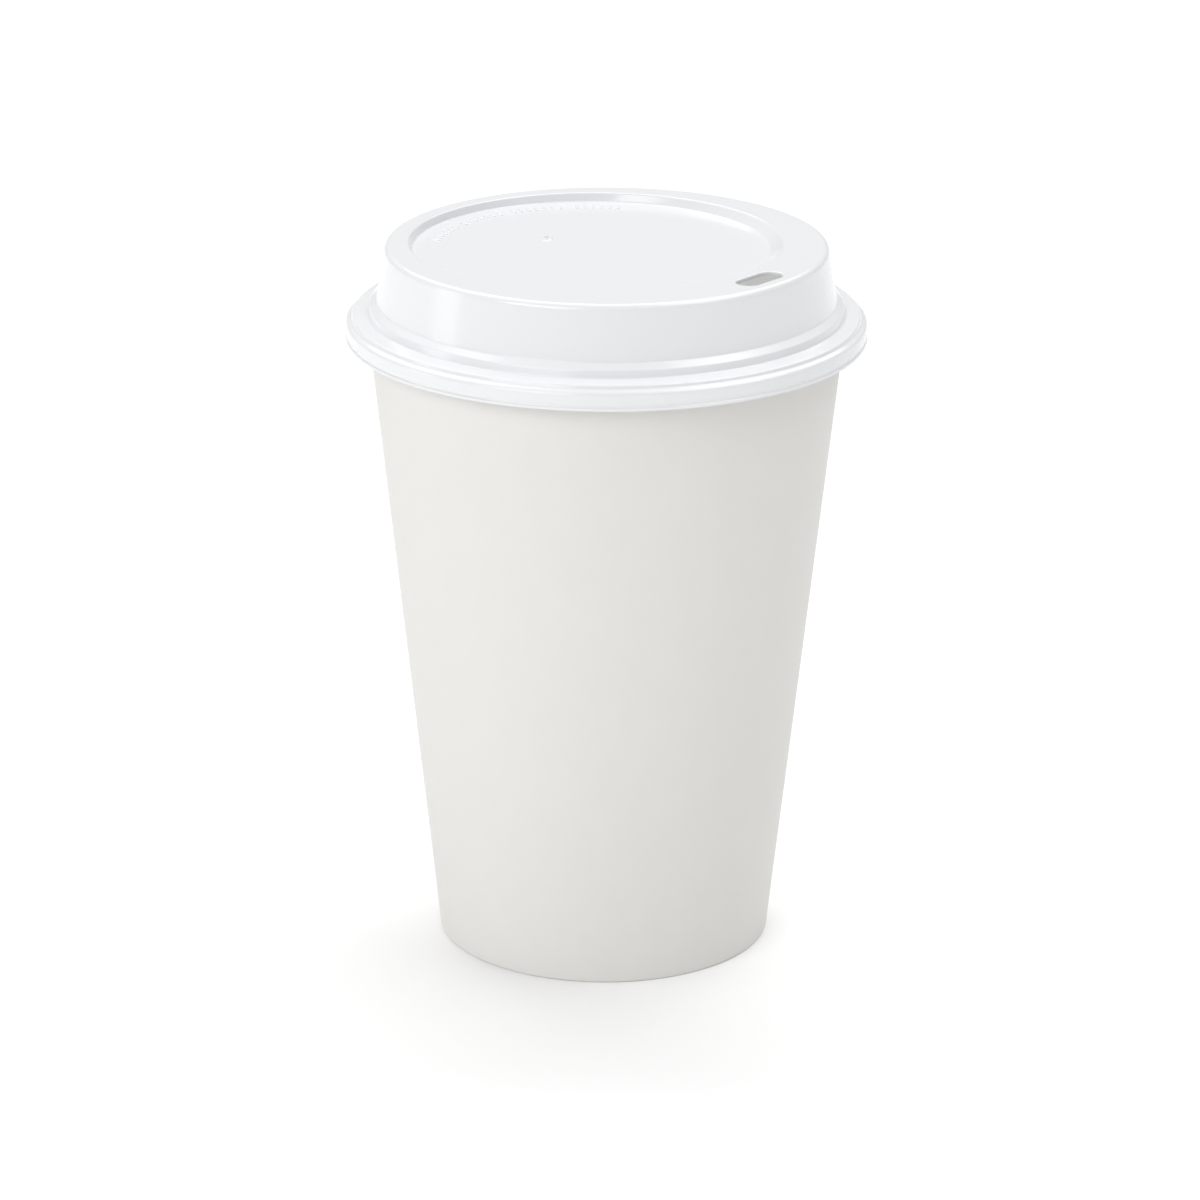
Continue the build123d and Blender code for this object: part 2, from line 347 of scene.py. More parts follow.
def close_tree(writer, geometry, materials):
    """Ends a tree: instances made real and each material set, with the faces that it goes on."""
    made = writer.add("GeometryNodeRealizeInstances", {"Geometry": geometry}).outputs[0]
    for material, selection in materials:
        values = {"Geometry": made, "Material": material}
        if selection is not None:
            values["Selection"] = selection
        made = writer.add("GeometryNodeSetMaterial", values).outputs[0]
    writer.add("NodeGroupOutput", {"Geometry": made})


def turned_board_tree():
    """Turns a line of radius and height round Z, and laps the board over itself at the seam behind."""
    tree, w, given = geometry_tree(
        "Turned board",
        [
            ("Columns", "Int"),
            ("Seam Columns", "Int"),
            ("Closing Rows", "Int"),
            ("Base Radius", "Float"),
            ("Taper", "Float"),
            ("Board", "Float"),
            ("Overlap", "Float"),
            ("Ramp", "Float"),
            ("Margin", "Float"),
            ("Outside", "Material"),
            ("Inside", "Material"),
        ],
    )
    line = given["Geometry"]
    points = w.add("GeometryNodeAttributeDomainSize", {"Geometry": line}).outputs["Point Count"]
    rows = w.math("ADD", points, given["Closing Rows"])
    across = w.math("ADD", given["Columns"], 1.0)
    grid = w.add("GeometryNodeMeshGrid", {"Vertices X": across, "Vertices Y": rows}).outputs["Mesh"]
    index = w.add("GeometryNodeInputIndex").outputs[0]
    column = w.math("FLOOR", w.math("DIVIDE", w.math("ADD", index, 0.5), rows))
    row = w.math("SUBTRACT", index, w.math("MULTIPLY", column, rows))
    place = w.math("MODULO", row, points)

    def on_line(kind, value):
        """What the line carries at the place of each row."""
        values = {"Geometry": line, "Value": value, "Index": place}
        return w.add("GeometryNodeSampleIndex", values, data_type=kind).outputs[0]

    def carried(name):
        """A value that is stored on each point."""
        return w.add("GeometryNodeInputNamedAttribute", {"Name": name}, data_type="FLOAT").outputs[0]

    point = on_line("FLOAT_VECTOR", w.add("GeometryNodeInputPosition").outputs[0])
    parts = w.add("ShaderNodeSeparateXYZ", {"Vector": point}).outputs

    # Columns stand a set distance apart along the seam, and share the rest of the turn
    seam_radius = w.math("MULTIPLY_ADD", parts["Z"], given["Taper"], given["Base Radius"])
    half = w.math("MULTIPLY", given["Overlap"], 0.5)
    first = w.math("MULTIPLY", w.math("ADD", half, given["Margin"]), -1.0)
    width = w.math("ADD", given["Overlap"], given["Ramp"])
    width = w.math("MULTIPLY_ADD", given["Margin"], 2.0, width)
    share = w.math("MINIMUM", w.math("DIVIDE", column, given["Seam Columns"]), 1.0)
    along = w.math("MULTIPLY_ADD", width, share, first)
    others = w.math("SUBTRACT", given["Columns"], given["Seam Columns"])
    beyond = w.math("DIVIDE", w.math("SUBTRACT", column, given["Seam Columns"]), others)
    beyond = w.math("MAXIMUM", beyond, 0.0)
    rest = w.math("SUBTRACT", 2 * math.pi, w.math("DIVIDE", width, seam_radius))
    turn = w.math("MULTIPLY_ADD", rest, beyond, w.math("DIVIDE", along, seam_radius))

    # The upper ply lies on the lower one and comes down past its end
    down = w.math("DIVIDE", w.math("SUBTRACT", w.math("ADD", half, given["Ramp"]), along), given["Ramp"])
    ramp = w.math("MULTIPLY", w.math("MINIMUM", w.math("MAXIMUM", down, 0.0), 1.0), given["Board"])
    upper = w.math("MULTIPLY", ramp, w.math("GREATER_THAN", along, w.math("MULTIPLY", half, -1.0)))
    hollow = w.math("MULTIPLY", ramp, w.math("GREATER_THAN", along, half))
    out = w.math("MULTIPLY", upper, on_line("FLOAT", carried("lap")))
    out = w.math("MULTIPLY_ADD", hollow, on_line("FLOAT", carried("hollow")), out)
    radius = w.math("ADD", parts["X"], out)

    x = w.math("MULTIPLY", radius, w.math("SINE", turn))
    y = w.math("MULTIPLY", radius, w.math("COSINE", turn))
    at = w.add("ShaderNodeCombineXYZ", {"X": x, "Y": y, "Z": parts["Z"]}).outputs[0]
    sheet = w.add("GeometryNodeSetPosition", {"Geometry": grid, "Position": at}).outputs[0]
    values = {"Geometry": sheet, "Name": "inside", "Value": on_line("FLOAT", carried("inside"))}
    sheet = w.add("GeometryNodeStoreNamedAttribute", values, data_type="FLOAT").outputs[0]
    sheet = w.add("GeometryNodeMergeByDistance", {"Geometry": sheet, "Distance": MERGE_GAP}).outputs[0]
    sheet = w.add("GeometryNodeFlipFaces", {"Mesh": sheet}).outputs[0]
    coated = w.math("GREATER_THAN", carried("inside"), 0.5)
    close_tree(w, sheet, [(given["Outside"], None), (given["Inside"], coated)])
    return tree


def pleat_tree():
    """Sets one pleat at even steps round Z, each at a size of its own."""
    tree, w, given = geometry_tree(
        "Heel pleats",
        [
            ("Count", "Int"),
            ("Radius", "Float"),
            ("Height", "Float"),
            ("Lean", "Float"),
            ("Seed", "Int"),
            ("Material", "Material"),
        ],
    )
    index = w.add("GeometryNodeInputIndex").outputs[0]
    turn = w.math("DIVIDE", w.math("MULTIPLY", index, 2 * math.pi), given["Count"])
    x = w.math("MULTIPLY", given["Radius"], w.math("SINE", turn))
    y = w.math("MULTIPLY", given["Radius"], w.math("COSINE", turn))
    at = w.add("ShaderNodeCombineXYZ", {"X": x, "Y": y, "Z": given["Height"]}).outputs[0]
    line = w.add("GeometryNodeMeshLine", {"Count": given["Count"]}).outputs[0]
    points = w.add("GeometryNodeSetPosition", {"Geometry": line, "Position": at}).outputs[0]
    lean = w.math("MULTIPLY", given["Lean"], -1.0)
    facing = w.add("ShaderNodeCombineXYZ", {"X": lean, "Z": w.math("MULTIPLY", turn, -1.0)}).outputs[0]
    rotation = w.add("FunctionNodeEulerToRotation", {"Euler": facing}).outputs[0]
    # By number: the node has these for each kind of value
    values = {"Seed": given["Seed"], 2: PLEAT_LEAST, 3: 1.0}
    scale = w.add("FunctionNodeRandomValue", values, data_type="FLOAT").outputs[1]
    values = {"Points": points, "Instance": given["Geometry"], "Rotation": rotation, "Scale": scale}
    pleats = w.add("GeometryNodeInstanceOnPoints", values).outputs[0]
    close_tree(w, pleats, [(given["Material"], None)])
    return tree


def tick_tree():
    """Sets one tick at even steps along an arc behind, in groups with a gap between them."""
    tree, w, given = geometry_tree(
        "Tick arc",
        [
            ("Count", "Int"),
            ("Group", "Int"),
            ("Radius", "Float"),
            ("Span", "Float"),
            ("Turn", "Float"),
            ("Middle", "Vector"),
            ("Material", "Material"),
        ],
    )
    index = w.add("GeometryNodeInputIndex").outputs[0]
    last = w.math("SUBTRACT", given["Count"], 1.0)
    share = w.math("SUBTRACT", w.math("DIVIDE", index, last), 0.5)
    turn = w.math("MULTIPLY_ADD", share, given["Span"], given["Turn"])
    x = w.math("MULTIPLY", given["Radius"], w.math("SINE", turn))
    y = w.math("MULTIPLY", given["Radius"], w.math("COSINE", turn))
    arc = w.add("ShaderNodeCombineXYZ", {"X": x, "Y": y}).outputs[0]
    at = w.add("ShaderNodeVectorMath", {0: arc, 1: given["Middle"]}, operation="ADD").outputs[0]
    line = w.add("GeometryNodeMeshLine", {"Count": given["Count"]}).outputs[0]
    points = w.add("GeometryNodeSetPosition", {"Geometry": line, "Position": at}).outputs[0]
    in_group = w.math("MODULO", w.math("ADD", index, 1.0), given["Group"])
    values = {"Points": points, "Instance": given["Geometry"]}
    values["Selection"] = w.math("GREATER_THAN", in_group, 0.5)
    facing = w.add("ShaderNodeCombineXYZ", {"Z": w.math("MULTIPLY", turn, -1.0)}).outputs[0]
    values["Rotation"] = w.add("FunctionNodeEulerToRotation", {"Euler": facing}).outputs[0]
    ticks = w.add("GeometryNodeInstanceOnPoints", values).outputs[0]
    close_tree(w, ticks, [(given["Material"], None)])
    return tree


def grown_mesh(obj, tree, inputs):
    """Runs a tree on an object, and leaves its result there as a plain mesh."""
    modifier = obj.modifiers.new(tree.name, "NODES")
    modifier.node_group = tree
    for item in tree.interface.items_tree:
        if item.in_out == "INPUT" and item.name in inputs:
            modifier[item.identifier] = inputs[item.name]
    depsgraph = bpy.context.evaluated_depsgraph_get()
    made = bpy.data.meshes.new_from_object(obj.evaluated_get(depsgraph), depsgraph=depsgraph)
    obj.modifiers.clear()
    started = obj.data
    obj.data = made
    bpy.data.meshes.remove(started)
    made.name = obj.name
    if not made.polygons:
        raise RuntimeError(f"{obj.name} came out empty")


def linked_object(name, data):
    """An object at the origin; a piece has its place in its mesh."""
    obj = bpy.data.objects.new(name, data)
    bpy.context.scene.collection.objects.link(obj)
    return obj


def line_object(name, points, **carried):
    """An object whose mesh is a row of points of radius and height, with values stored on them."""
    mesh = bpy.data.meshes.new(name)
    mesh.from_pydata([(point.x, 0.0, point.y) for point in points], [], [])
    for key, values in carried.items():
        mesh.attributes.new(key, "FLOAT", "POINT").data.foreach_set("value", values)
    return linked_object(name, mesh)


def finish_piece(obj, body, slot, *nodes):
    """Shades a piece, tests that it is closed and faces out, and puts it on its body."""
    mesh = obj.data
    mesh.shade_smooth()
    mesh.set_sharp_from_angle(angle=math.radians(SHARP_ANGLE))
    shell = bmesh.new()
    shell.from_mesh(mesh)
    closed = all(edge.is_manifold for edge in shell.edges)
    volume = shell.calc_volume(signed=True)
    shell.free()
    if not closed or volume <= 0:
        raise RuntimeError(f"{obj.name} isn't a closed shell that faces out")
    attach(obj, body)
    if nodes:
        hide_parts(*nodes)


def grain_group():
    """Relief of a rolled or formed sheet at two sizes, for every sheet of the cup and the lid."""
    name = "Sheet grain"
    if name in bpy.data.node_groups:
        return bpy.data.node_groups[name]
    group = bpy.data.node_groups.new(name, "ShaderNodeTree")
    group.interface.new_socket("Vector", in_out="INPUT", socket_type="NodeSocketVector")
    for label in ("Fine Size", "Broad Size", "Stretch"):
        group.interface.new_socket(label, in_out="INPUT", socket_type="NodeSocketFloat")
    for label in ("Fine", "Broad"):
        group.interface.new_socket(label, in_out="OUTPUT", socket_type="NodeSocketFloat")
    w = NodeWriter(group)
    given = w.add("NodeGroupInput").outputs
    stretch = w.add("ShaderNodeCombineXYZ", {"X": 1.0, "Y": 1.0, "Z": given["Stretch"]}).outputs[0]
    at = w.add("ShaderNodeVectorMath", {0: given["Vector"], 1: stretch}, operation="MULTIPLY").outputs[0]
    per_metre = w.math("DIVIDE", 1.0, given["Fine Size"])
    values = {"Vector": at, "Scale": per_metre, "Detail": 4.0, "Roughness": 0.6}
    fine = w.add("ShaderNodeTexNoise", values).outputs[0]
    per_metre = w.math("DIVIDE", 1.0, given["Broad Size"])
    values = {"Vector": at, "Scale": per_metre, "Detail": 2.0}
    broad = w.add("ShaderNodeTexNoise", values).outputs[0]
    w.add("NodeGroupOutput", {"Fine": fine, "Broad": broad})
    return group


def sheet_material(name, tone, grain, gloss, relief, ior, through=None):
    """A sheet: colour, grain sizes, roughness, relief, and lamp light let through above a height."""
    if name in bpy.data.materials:
        return bpy.data.materials[name]
    material = bpy.data.materials.new(name)
    material.use_nodes = True
    material.node_tree.nodes.clear()
    w = NodeWriter(material.node_tree)
    place = w.add("ShaderNodeTexCoord").outputs["Object"]
    values = {"Vector": place, "Fine Size": grain[0], "Broad Size": grain[1], "Stretch": grain[2]}
    made = w.add("ShaderNodeGroup", values, node_tree=grain_group()).outputs
    light, share = tone
    dark = [part * share for part in light]
    # By number: the node has these for each kind of value
    values = {0: made["Broad"], 6: (*dark, 1.0), 7: (*light, 1.0)}
    base = w.add("ShaderNodeMix", values, data_type="RGBA").outputs[2]
    values = {"Value": made["Fine"], "To Min": gloss[0], "To Max": gloss[1]}
    rough = w.add("ShaderNodeMapRange", values).outputs[0]
    height = w.math("MULTIPLY_ADD", made["Broad"], relief[2], made["Fine"])
    values = {"Height": height, "Strength": relief[0], "Distance": relief[1]}
    normal = w.add("ShaderNodeBump", values).outputs[0]
    values = {"Base Color": base, "Roughness": rough, "Normal": normal, "IOR": ior}
    shader = w.add("ShaderNodeBsdfPrincipled", values).outputs[0]
    if through is not None:
        passed, lowest = through
        level = w.add("ShaderNodeSeparateXYZ", {"Vector": place}).outputs["Z"]
        let_in = w.math("MULTIPLY", w.math("GREATER_THAN", level, lowest), passed)
        clear = w.add("ShaderNodeBsdfTransparent", {"Color": let_in}).outputs[0]
        from_lamp = w.add("ShaderNodeLightPath").outputs["Is Shadow Ray"]
        shader = w.add("ShaderNodeMixShader", {0: from_lamp, 1: shader, 2: clear}).outputs[0]
    w.add("ShaderNodeOutputMaterial", {"Surface": shader})
    return material


def board_outside(cup):
    """Plain matt outside of the board."""
    return sheet_material(
        "Board outside",
        tone=(tuple(cup.board_colour), 0.975),
        grain=(0.0003, 0.006, 0.7),
        gloss=(0.5, 0.68),
        relief=(0.25, 0.00002, 0.3),
        ior=1.45,
    )


def board_inside(cup):
    """Coated inside of the board, which is also the outside of the rolled rim."""
    return sheet_material(
        "Board inside",
        tone=(tuple(cup.coating_colour), 0.98),
        grain=(0.0005, 0.008, 0.7),
        gloss=(0.28, 0.4),
        relief=(0.2, 0.00002, 0.5),
        ior=1.5,
    )


def lid_plastic(lines):
    """Glossy white sheet, thin enough to let light into the cup inside the rim."""
    return sheet_material(
        "Lid sheet",
        tone=(tuple(lines.lid.sheet_colour), 0.985),
        grain=(0.0011, 0.007, 1.0),
        gloss=(0.13, 0.22),
        relief=(0.12, 0.00002, 1.5),
        ior=1.59,
        through=(0.95, lines.channel_height),
    )


def floor_paint(stage):
    """Even pale paint."""
    return sheet_material(
        "Floor paint",
        tone=(tuple(stage.floor_colour), 0.995),
        grain=(0.002, 0.05, 1.0),
        gloss=(0.8, 0.9),
        relief=(0.02, 0.00002, 0.0),
        ior=1.3,
    )


class PAPERCUP_OT_wall(bpy.types.Operator):
    """Make the wall of the cup: turned-in heel, lapped seam and rolled rim in one board"""

    bl_idname = "papercup.wall"
    bl_label = "Cup wall"

    def execute(self, context):
        cup = context.scene.paper_cup
        lines = CupLines(cup)
        corners = [
            (lines.wall_radius(lines.fold_top, lines.heel), lines.fold_top),
            (lines.wall_radius(0, lines.heel), 0),
            (lines.base, 0),
            lines.wall_end,
        ]
        outer = bent_line(corners, [cup.board, cup.board], 0)
        inner = bent_line(corners, [cup.board, cup.board], cup.board)
        outer, lap = stepped_rows(outer, 2 * cup.board, lines.roll_underside)
        inner, hollow = stepped_rows(inner, cup.bottom_top, lines.roll_underside)
        curls = [curl(lines, depth)[1:] for depth in (0, cup.board)]
        near = [*outer, *curls[0]]
        far = [*inner, *curls[1]]
        spare = [0.0] * CURL_STEPS
        wall = line_object(
            "cup_wall",
            [*near, *reversed(far)],
            lap=[*lap, *spare, *[0.0] * len(far)],
            hollow=[*[0.0] * len(near), *spare, *reversed(hollow)],
            inside=[*[0.0] * len(near), *[1.0] * len(far)],
        )
        inputs = {
            "Columns": WALL_COLUMNS,
            "Seam Columns": SEAM_COLUMNS,
            "Closing Rows": 1,
            "Base Radius": lines.base,
            "Taper": 1 / math.tan(lines.slope),
            "Board": cup.board,
            "Overlap": cup.seam_overlap,
            "Ramp": cup.seam_ramp,
            "Margin": cup.board,
            "Outside": board_outside(cup),
            "Inside": board_inside(cup),
        }
        grown_mesh(wall, turned_board_tree(), inputs)
        finish_piece(wall, "cup", "cup_board", "cup_sidewall")
        return {"FINISHED"}


class PAPERCUP_OT_bottom(bpy.types.Operator):
    """Make the bottom disc of the cup, with its edge turned down inside the wall"""

    bl_idname = "papercup.bottom"
    bl_label = "Cup bottom"

    def execute(self, context):
        cup = context.scene.paper_cup
        lines = CupLines(cup)
        depth = cup.board + cup.glue_line
        corners = [
            (0, cup.bottom_top),
            (lines.wall_radius(cup.bottom_top, depth), cup.bottom_top),
            (lines.wall_radius(cup.skirt_end, depth), cup.skirt_end),
        ]
        upper = bent_line(corners, [cup.bottom_bend], 0)
        lower = bent_line(corners, [cup.bottom_bend], -cup.bottom_board)
        points = [*lower, *reversed(upper)]
        none = [0.0] * len(points)
        coated = [*[0.0] * len(lower), *[1.0] * len(upper)]
        bottom = line_object("cup_bottom_disc", points, lap=none, hollow=none, inside=coated)
        inputs = {
            "Columns": BOTTOM_COLUMNS,
            "Seam Columns": 0,
            "Closing Rows": 0,
            "Base Radius": lines.base,
            "Outside": board_outside(cup),
            "Inside": board_inside(cup),
        }
        grown_mesh(bottom, turned_board_tree(), inputs)
        finish_piece(bottom, "cup", "cup_board", "cup_bottom")
        return {"FINISHED"}


class PAPERCUP_OT_pleats(bpy.types.Operator):
    """Make the pleats that are pressed into the turned-in heel of the cup"""

    bl_idname = "papercup.pleats"
    bl_label = "Heel pleats"

    def execute(self, context):
        cup = context.scene.paper_cup
        lines = CupLines(cup)
        # The largest pleat runs from about two boards above the table to one under the end of the fold
        height = lines.fold_top / 2 + cup.board / 2
        reach = lines.fold_top / 2 - 1.5 * cup.board
        around, along = PLEAT_SEGMENTS
        mesh = bpy.data.meshes.new("heel_pleats")
        pleat = bmesh.new()
        bmesh.ops.create_uvsphere(pleat, u_segments=around, v_segments=along, radius=1.0)
        bmesh.ops.scale(pleat, vec=(cup.pleat_width / 2, cup.pleat_relief, reach), verts=pleat.verts)
        pleat.to_mesh(mesh)
        pleat.free()
        pleats = linked_object("heel_pleats", mesh)
        inputs = {
            "Count": cup.pleats,
            "Radius": lines.wall_radius(height, lines.heel),
            "Height": height,
            "Lean": math.pi / 2 - lines.slope,
            "Seed": PLEAT_SEED,
            "Material": board_outside(cup),
        }
        grown_mesh(pleats, pleat_tree(), inputs)
        finish_piece(pleats, "cup", "cup_board")
        return {"FINISHED"}


class LidLines:
    """Lines of the lid, worked out from the rim that it fits."""

    def __init__(self, cup, lid):
        self.lid = lid
        rim = cup.rim_diameter / 2
        self.channel_height = cup.height + lid.seat_clearance + lid.sheet
        self.foot_height = self.channel_height + lid.foot_rise
        self.snap_height = cup.height - cup.rim_roll + lid.snap_lap
        self.snap_radius = rim + lid.snap_clearance + lid.sheet
        self.skirt_radius = self.snap_radius + lid.skirt_bulge
        self.channel_radius = rim - cup.rim_roll + lid.channel_margin
        self.foot_radius = self.channel_radius - lid.drop_run - lid.ledge_width
        self.top_radius = self.foot_radius - (lid.top - self.foot_height) * math.tan(lid.dome_draft)
        self.floor = lid.top - lid.recess_depth
        front, back = self.top_radius - lid.ring_front, self.top_radius - lid.ring_back
        self.mouth = ((front + back) / 2, (back - front) / 2)
        front, back = front - lid.recess_run_front, back - lid.recess_run_back
        self.foot = ((front + back) / 2, (back - front) / 2)

    def side(self):
        """Corners of the outside with their bends, from the dome down to the end of the skirt."""
        lid = self.lid
        step_radius = self.snap_radius - lid.step_inset
        step_top = self.channel_height - lid.channel_fall
        step_foot = step_top - lid.step_drop
        return [
            ((self.top_radius, lid.top), lid.top_edge),
            ((self.foot_radius, self.foot_height), lid.sheet),
            ((self.foot_radius + lid.ledge_width, self.foot_height - lid.ledge_fall), lid.sheet),
            ((self.channel_radius, self.channel_height + lid.channel_fall), lid.sheet),
            ((step_radius - lid.step_run, step_top), lid.sheet),
            ((step_radius, step_foot), lid.sheet),
            ((self.skirt_radius, step_foot - lid.bead_fall), lid.bead_bend),
            ((self.skirt_radius, self.snap_height + lid.snap_fall), lid.sheet),
        ]

    def side_lines(self):
        """Radius and height down the outside to the end of the brim, and up the underside."""
        lid = self.lid
        corners, bends = zip(*self.side())
        flat = (self.top_radius - FLAT_REACH * lid.top_edge, lid.top)
        brim_top = self.snap_height - lid.snap_height
        brim_end = self.snap_radius + lid.brim_width
        neck = (self.skirt_radius - lid.neck_depth, brim_top + lid.brim_flare)
        brim = [neck, (brim_end, brim_top), (brim_end, brim_top - lid.sheet)]
        outside = bent_line([flat, *corners, *brim], [*bends, lid.sheet, CUT_SHARE * lid.sheet], 0)
        snap_ring = [(self.snap_radius, self.snap_height), (self.snap_radius, brim_top - lid.sheet)]
        underside = bent_line([flat, *corners, *snap_ring], [*bends, lid.sheet], -lid.sheet)
        return outside, [outside[-1], *reversed(underside)]

    def recess_rows(self, around, depth):
        """Rows of points up the wall of the recess, on the face of the sheet at a depth."""
        lid = self.lid
        (foot_radius, foot_middle), (mouth_radius, mouth_middle) = self.foot, self.mouth
        shift = mouth_middle - foot_middle
        reach = RECESS_REACH * lid.recess_edge
        sections = []
        for turn in around:
            run = mouth_radius - foot_radius + shift * math.cos(turn)
            corners = [(-reach, 0), (0, 0), (run, lid.recess_depth), (run + reach, lid.recess_depth)]
            section = []
            for out, up in bent_line(corners, [lid.recess_foot, lid.recess_edge], -depth):
                middle = shift * up / lid.recess_depth
                radius = foot_radius + out - middle * math.cos(turn)
                x, y = radius * math.sin(turn), foot_middle + middle + radius * math.cos(turn)
                section.append(Vector((x, y, self.floor + up)))
            sections.append(section)
        return [list(row) for row in zip(*sections)]


def circle(radius, height, around, middle=0.0):
    """A level ring of points."""
    return [Vector((radius * math.sin(t), middle + radius * math.cos(t), height)) for t in around]


def slot_outline(lines, grow, height):
    """A level ring of points round the drinking hole, grown by an edge."""
    lid = lines.lid
    radius = lid.sip_width / 2 + grow
    middle = lid.sip_inset - lines.top_radius
    ends = (lid.sip_length - lid.sip_width) / 2
    points = []
    for side in (1, -1):
        for step in range(SLOT_STEPS + 1):
            turn = math.pi * (step / SLOT_STEPS - side / 2)
            x, y = side * ends + radius * math.cos(turn), middle - radius * math.sin(turn)
            points.append(Vector((x, y, height)))
    return points


def sip_rows(lines):
    """Rows of points over the turned-down edge of the drinking hole, from the flat ring to its underside."""
    lid = lines.lid
    under = lid.top - lid.sheet
    cut = CUT_SHARE * lid.sheet
    corners = [
        (2 * lid.sip_edge, lid.top),
        (0, lid.top),
        (0, under - lid.sip_lip),
        (lid.sheet, under - lid.sip_lip),
        (lid.sheet, under),
        (lid.sheet + lid.sip_edge, under),
    ]
    return [slot_outline(lines, *point) for point in bent_line(corners, [lid.sip_edge, cut, cut, cut], 0)]


def skin(shell, rows):
    """Faces between rings of points, each joined to the next. Returns the first ring and the last."""
    rings = [[shell.verts.new(point) for point in row] for row in rows]
    for ring, following in zip(rings, rings[1:]):
        for i, corner in enumerate(ring):
            shell.faces.new((ring[i - 1], corner, following[i], following[i - 1]))
    return rings[0], rings[-1]


def flat_fill(shell, rings):
    """A level face between an outer ring and the rings of its holes."""
    edges = []
    for ring in rings:
        for i, corner in enumerate(ring):
            edges.append(shell.edges.get((ring[i - 1], corner)))
    bmesh.ops.triangle_fill(shell, edges=edges, use_beauty=True, normal=(0, 0, 1))


class PAPERCUP_OT_lid(bpy.types.Operator):
    """Make the lid: dome with an off-centre recess, channel over the rim, snap ring, brim and holes"""

    bl_idname = "papercup.lid"
    bl_label = "Lid"

    def execute(self, context):
        lid = context.scene.paper_cup_lid
        lines = LidLines(context.scene.paper_cup, lid)
        around = [2 * math.pi * step / LID_COLUMNS for step in range(LID_COLUMNS)]
        shell = bmesh.new()
        outside, underside = lines.side_lines()
        ring_top, brim = skin(shell, [circle(*point, around) for point in outside])
        brim_again, ring_under = skin(shell, [circle(*point, around) for point in underside])
        bmesh.ops.weld_verts(shell, targetmap=dict(zip(brim_again, brim)))
        floor_top, mouth_top = skin(shell, lines.recess_rows(around, 0))
        floor_under, mouth_under = skin(shell, lines.recess_rows(around, lid.sheet))
        sip_top, sip_under = skin(shell, sip_rows(lines))

        def vent(radius, height):
            """A ring of points round the vent, at a height above the floor of the recess."""
            return circle(radius, lines.floor + height, around[::VENT_SKIP], lid.vent_offset)

        bore, lip = lid.vent / 2, lid.vent_lip / 2
        crest = (lip + bore) / 2
        soft = (crest - bore) / 4
        vent_top, vent_under = skin(
            shell,
            [
                vent(VENT_APRON * lip, 0),
                vent(VENT_FOOT * lip, 0),
                vent(VENT_SHOULDER * lip, soft),
                vent(crest + soft, lid.vent_lip_height - soft),
                vent(crest, lid.vent_lip_height),
                vent(bore + soft, lid.vent_lip_height),
                vent(bore, lid.vent_lip_height - soft),
                vent(bore, -lid.sheet),
            ],
        )
        flat_fill(shell, [ring_top, mouth_top, sip_top])
        flat_fill(shell, [ring_under, mouth_under, sip_under])
        flat_fill(shell, [floor_top, vent_top])
        flat_fill(shell, [floor_under, vent_under])
        bmesh.ops.recalc_face_normals(shell, faces=shell.faces)
        if shell.calc_volume(signed=True) < 0:
            bmesh.ops.reverse_faces(shell, faces=shell.faces)
        mesh = bpy.data.meshes.new("lid_shell")
        shell.to_mesh(mesh)
        shell.free()
        mesh.materials.append(lid_plastic(lines))
        finish_piece(linked_object("lid_shell", mesh), "lid", "lid_sheet", "lid")
        return {"FINISHED"}


class PAPERCUP_OT_ticks(bpy.types.Operator):
    """Make the row of plain raised ticks on the floor of the lid's recess"""

    bl_idname = "papercup.ticks"
    bl_label = "Lid ticks"

    def execute(self, context):
        lid = context.scene.paper_cup_lid
        lines = LidLines(context.scene.paper_cup, lid)
        mesh = bpy.data.meshes.new("lid_ticks")
        tick = bmesh.new()
        bmesh.ops.create_cube(tick, size=1.0)
        bmesh.ops.scale(tick, vec=(lid.tick_width, lid.tick_length, 2 * lid.tick_height), verts=tick.verts)
        upper = [edge for edge in tick.edges if any(vert.co.z > 0 for vert in edge.verts)]
        soft = TICK_SOFT * lid.tick_height
        bmesh.ops.bevel(tick, geom=upper, offset=soft, segments=TICK_STEPS, profile=0.5, affect="EDGES")
        tick.to_mesh(mesh)
        tick.free()
        ticks = linked_object("lid_ticks", mesh)
        radius, middle = lines.foot
        inputs = {
            "Count": lid.ticks,
            "Group": lid.tick_group,
            "Radius": radius - lid.tick_inset,
            "Span": lid.tick_span,
            "Turn": lid.tick_turn,
            "Middle": (0.0, middle, lines.floor),
            "Material": lid_plastic(lines),
        }
        grown_mesh(ticks, tick_tree(), inputs)
        finish_piece(ticks, "lid", "lid_sheet")
        return {"FINISHED"}


def towards(azimuth, elevation):
    """Direction from the cup to a place, by its azimuth from the drinking hole and its height."""
    level = math.cos(elevation)
    return Vector((math.sin(azimuth) * level, -math.cos(azimuth) * level, math.sin(elevation)))


def soft_light(name, aim, azimuth, elevation, distance, size, radiance):
    """A soft box that faces the cup, with an even radiance over its face. Angles are in degrees."""
    data = bpy.data.lights.new(name, "AREA")
    data.shape = "RECTANGLE"
    data.size, data.size_y = size
    data.energy = radiance * math.pi * size[0] * size[1]
    light = linked_object(name, data)
    place = distance * towards(math.radians(azimuth), math.radians(elevation))
    light.location = aim + place
    light.rotation_mode = "QUATERNION"
    light.rotation_quaternion = (-place).to_track_quat("-Z", "Y")
    light.visible_camera = False


